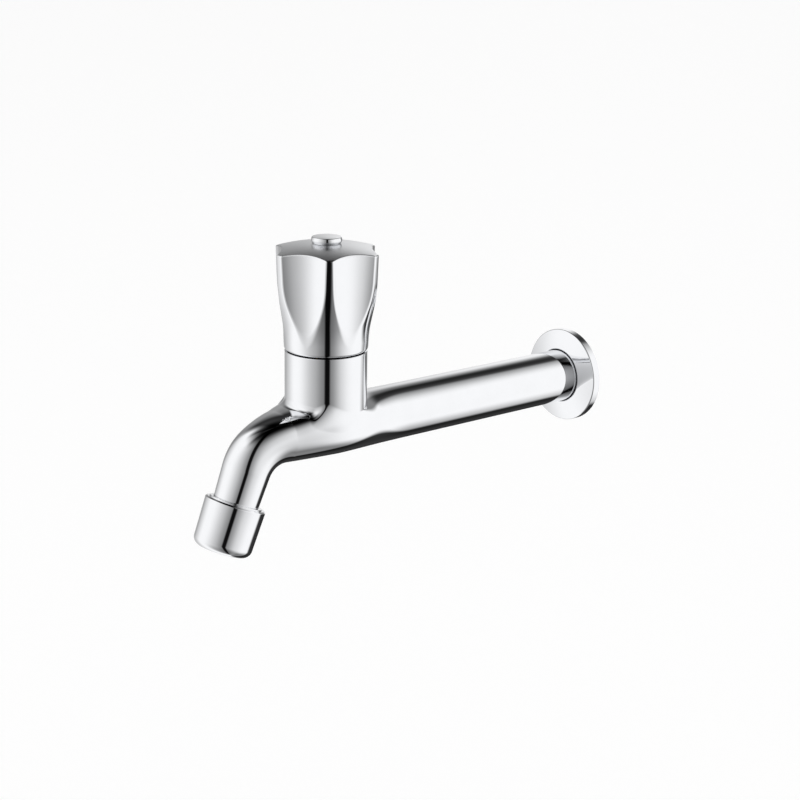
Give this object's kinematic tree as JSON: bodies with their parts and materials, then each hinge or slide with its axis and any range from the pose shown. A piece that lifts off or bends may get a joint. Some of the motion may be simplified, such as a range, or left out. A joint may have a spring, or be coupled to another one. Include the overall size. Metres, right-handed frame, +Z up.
{
  "type": "wall-mounted bib tap",
  "caption": "Long-body wall tap in polished chrome with a fluted knob, a quarter-turn ceramic headwork, a downturned spout and an aerator.",
  "frame": {"origin": "centre of the barrel's end face, in the plane of the wall", "axes": "+Y along the barrel into the wall, -Y out from the wall towards the spout, +Z up, +X to the right of someone facing the wall"},
  "size_m": [0.0486, 0.2461, 0.1452],
  "materials": {
    "chrome": "polished",
    "brass": "machined",
    "steel": "plain",
    "seal_rubber": "matt",
    "white_plastic": "moulded",
    "ceramic": "lapped"
  },
  "bodies": {
    "tap": {"tap_body": "chrome", "headwork_body": "brass", "headwork_o_ring": "seal_rubber", "thrust_washer": "white_plastic", "fixed_disc": "ceramic", "seat_seal": "seal_rubber", "aerator_sleeve": "chrome", "aerator_washer": "seal_rubber", "aerator_cage": "white_plastic", "jet_disc": "white_plastic", "screen_upper": "steel", "screen_lower": "steel", "outlet_grille": "white_plastic"},
    "handle": {"handle_knob": "chrome", "handle_cap": "chrome", "handle_screw": "steel", "spline_insert": "white_plastic", "spindle": "brass", "spindle_o_ring_lower": "seal_rubber", "spindle_o_ring_upper": "seal_rubber", "spindle_clip": "steel", "moving_disc": "ceramic"},
    "flange": {"wall_flange": "chrome", "flange_grip_ring": "seal_rubber"}
  },
  "joints": [
    {"name": "handle_turn", "type": "hinge", "parent": "tap", "child": "handle", "pos_m": [0, -0.161, 0.0378], "axis": [0, 0, 1], "range_deg": [0, 90]},
    {"name": "flange_slide", "type": "slide", "parent": "tap", "child": "flange", "axis": [0, -1, 0], "range_m": [0, 0.12]}
  ]
}
